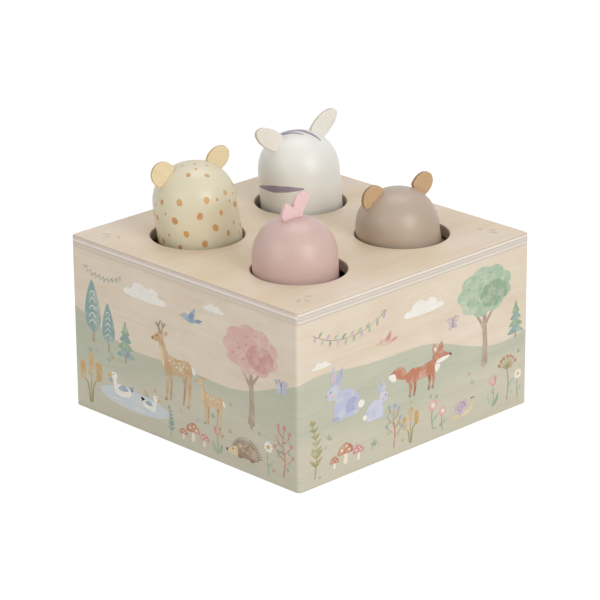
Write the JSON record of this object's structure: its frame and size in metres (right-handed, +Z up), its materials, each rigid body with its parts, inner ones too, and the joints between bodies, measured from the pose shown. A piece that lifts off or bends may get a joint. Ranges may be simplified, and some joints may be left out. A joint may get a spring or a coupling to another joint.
{
  "type": "pop up animal toy",
  "caption": "Square plywood toy box with round holes in its top, where dome-topped wooden animals with felt ears stand on coil springs and pop back up when pressed.",
  "frame": {"origin": "centre of the box's underside", "axes": "+Z up through the top panel, +X along the front wall to the right, the front wall faces -Y"},
  "size_m": [0.14, 0.14, 0.1185],
  "materials": {
    "top_plywood": "clear satin lacquer over birch plywood",
    "printed_plywood": "water-based print on birch plywood, satin lacquer",
    "bare_plywood": "bare sanded birch plywood",
    "beech": "bare turned and sanded beech",
    "zinc_steel": "bright zinc plated",
    "spring_steel": "drawn spring wire, lightly oiled",
    "cheetah_paint": "satin water-based paint on turned beech",
    "zebra_paint": "satin water-based paint on turned beech",
    "flamingo_paint": "satin water-based paint on turned beech",
    "bear_paint": "satin water-based paint on turned beech",
    "cheetah_felt": "pressed wool felt",
    "zebra_felt": "pressed wool felt",
    "flamingo_felt": "pressed wool felt",
    "bear_felt": "pressed wool felt"
  },
  "bodies": {
    "root": {"top_panel": "top_plywood", "bottom_panel": "bare_plywood", "front_panel": "printed_plywood", "back_panel": "printed_plywood", "left_panel": "printed_plywood", "right_panel": "printed_plywood", "corner_block_front_left": "beech", "corner_block_front_right": "beech", "corner_block_back_left": "beech", "corner_block_back_right": "beech", "base_screws": "zinc_steel", "foot_screws": "zinc_steel", "cheetah_foot_plug": "beech", "zebra_foot_plug": "beech", "flamingo_foot_plug": "beech", "bear_foot_plug": "beech"},
    "cheetah_spring_body": {"cheetah_spring": "spring_steel"},
    "cheetah_figure": {"cheetah_body": "cheetah_paint", "cheetah_left_ear": "cheetah_felt", "cheetah_right_ear": "cheetah_felt", "cheetah_retaining_disc": "beech", "cheetah_top_plug": "beech", "cheetah_disc_screw": "zinc_steel"},
    "zebra_spring_body": {"zebra_spring": "spring_steel"},
    "zebra_figure": {"zebra_body": "zebra_paint", "zebra_left_ear": "zebra_felt", "zebra_right_ear": "zebra_felt", "zebra_retaining_disc": "beech", "zebra_top_plug": "beech", "zebra_disc_screw": "zinc_steel"},
    "flamingo_spring_body": {"flamingo_spring": "spring_steel"},
    "flamingo_figure": {"flamingo_body": "flamingo_paint", "flamingo_crest": "flamingo_felt", "flamingo_retaining_disc": "beech", "flamingo_top_plug": "beech", "flamingo_disc_screw": "zinc_steel"},
    "bear_spring_body": {"bear_spring": "spring_steel"},
    "bear_figure": {"bear_body": "bear_paint", "bear_left_ear": "bear_felt", "bear_right_ear": "bear_felt", "bear_retaining_disc": "beech", "bear_top_plug": "beech", "bear_disc_screw": "zinc_steel"}
  },
  "joints": [
    {"name": "cheetah_rock", "type": "hinge", "parent": "root", "child": "cheetah_spring_body", "pos_m": [-0.0312, 0.0312, 0.005], "axis": [-0.7071, -0.7071, 0], "range_deg": [-0.2, 2], "stiffness_Nm_per_rad": 0.12, "deforming": ["cheetah_spring"]},
    {"name": "cheetah_press", "type": "slide", "parent": "cheetah_spring_body", "child": "cheetah_figure", "axis": [-0.0923, 0.0923, 0.9914], "range_m": [-0.024, 0], "stiffness_N_per_m": 150, "springref_m": 0.0021, "deforming": ["cheetah_spring"]},
    {"name": "zebra_rock", "type": "hinge", "parent": "root", "child": "zebra_spring_body", "pos_m": [0.0312, 0.0312, 0.005], "axis": [-0.7071, -0.7071, 0], "range_deg": [-1, 1.7], "stiffness_Nm_per_rad": 0.12, "deforming": ["zebra_spring"]},
    {"name": "zebra_press", "type": "slide", "parent": "zebra_spring_body", "child": "zebra_figure", "axis": [-0.0493, 0.0493, 0.9976], "range_m": [-0.024, 0], "stiffness_N_per_m": 150, "springref_m": 0.0021, "deforming": ["zebra_spring"]},
    {"name": "flamingo_rock", "type": "hinge", "parent": "root", "child": "flamingo_spring_body", "pos_m": [-0.0312, -0.0312, 0.005], "axis": [-0.7071, -0.7071, 0], "range_deg": [-2.7, 0.3], "stiffness_Nm_per_rad": 0.12, "deforming": ["flamingo_spring"]},
    {"name": "flamingo_press", "type": "slide", "parent": "flamingo_spring_body", "child": "flamingo_figure", "axis": [-0.0185, 0.0185, 0.9997], "range_m": [-0.018, 0], "stiffness_N_per_m": 150, "springref_m": 0.0016, "deforming": ["flamingo_spring"]},
    {"name": "bear_rock", "type": "hinge", "parent": "root", "child": "bear_spring_body", "pos_m": [0.0312, -0.0312, 0.005], "axis": [-0.7071, -0.7071, 0], "range_deg": [-1.7, 0.2], "stiffness_Nm_per_rad": 0.12, "deforming": ["bear_spring"]},
    {"name": "bear_press", "type": "slide", "parent": "bear_spring_body", "child": "bear_figure", "axis": [-0.0923, 0.0923, 0.9914], "range_m": [-0.018, 0], "stiffness_N_per_m": 150, "springref_m": 0.0016, "deforming": ["bear_spring"]}
  ]
}
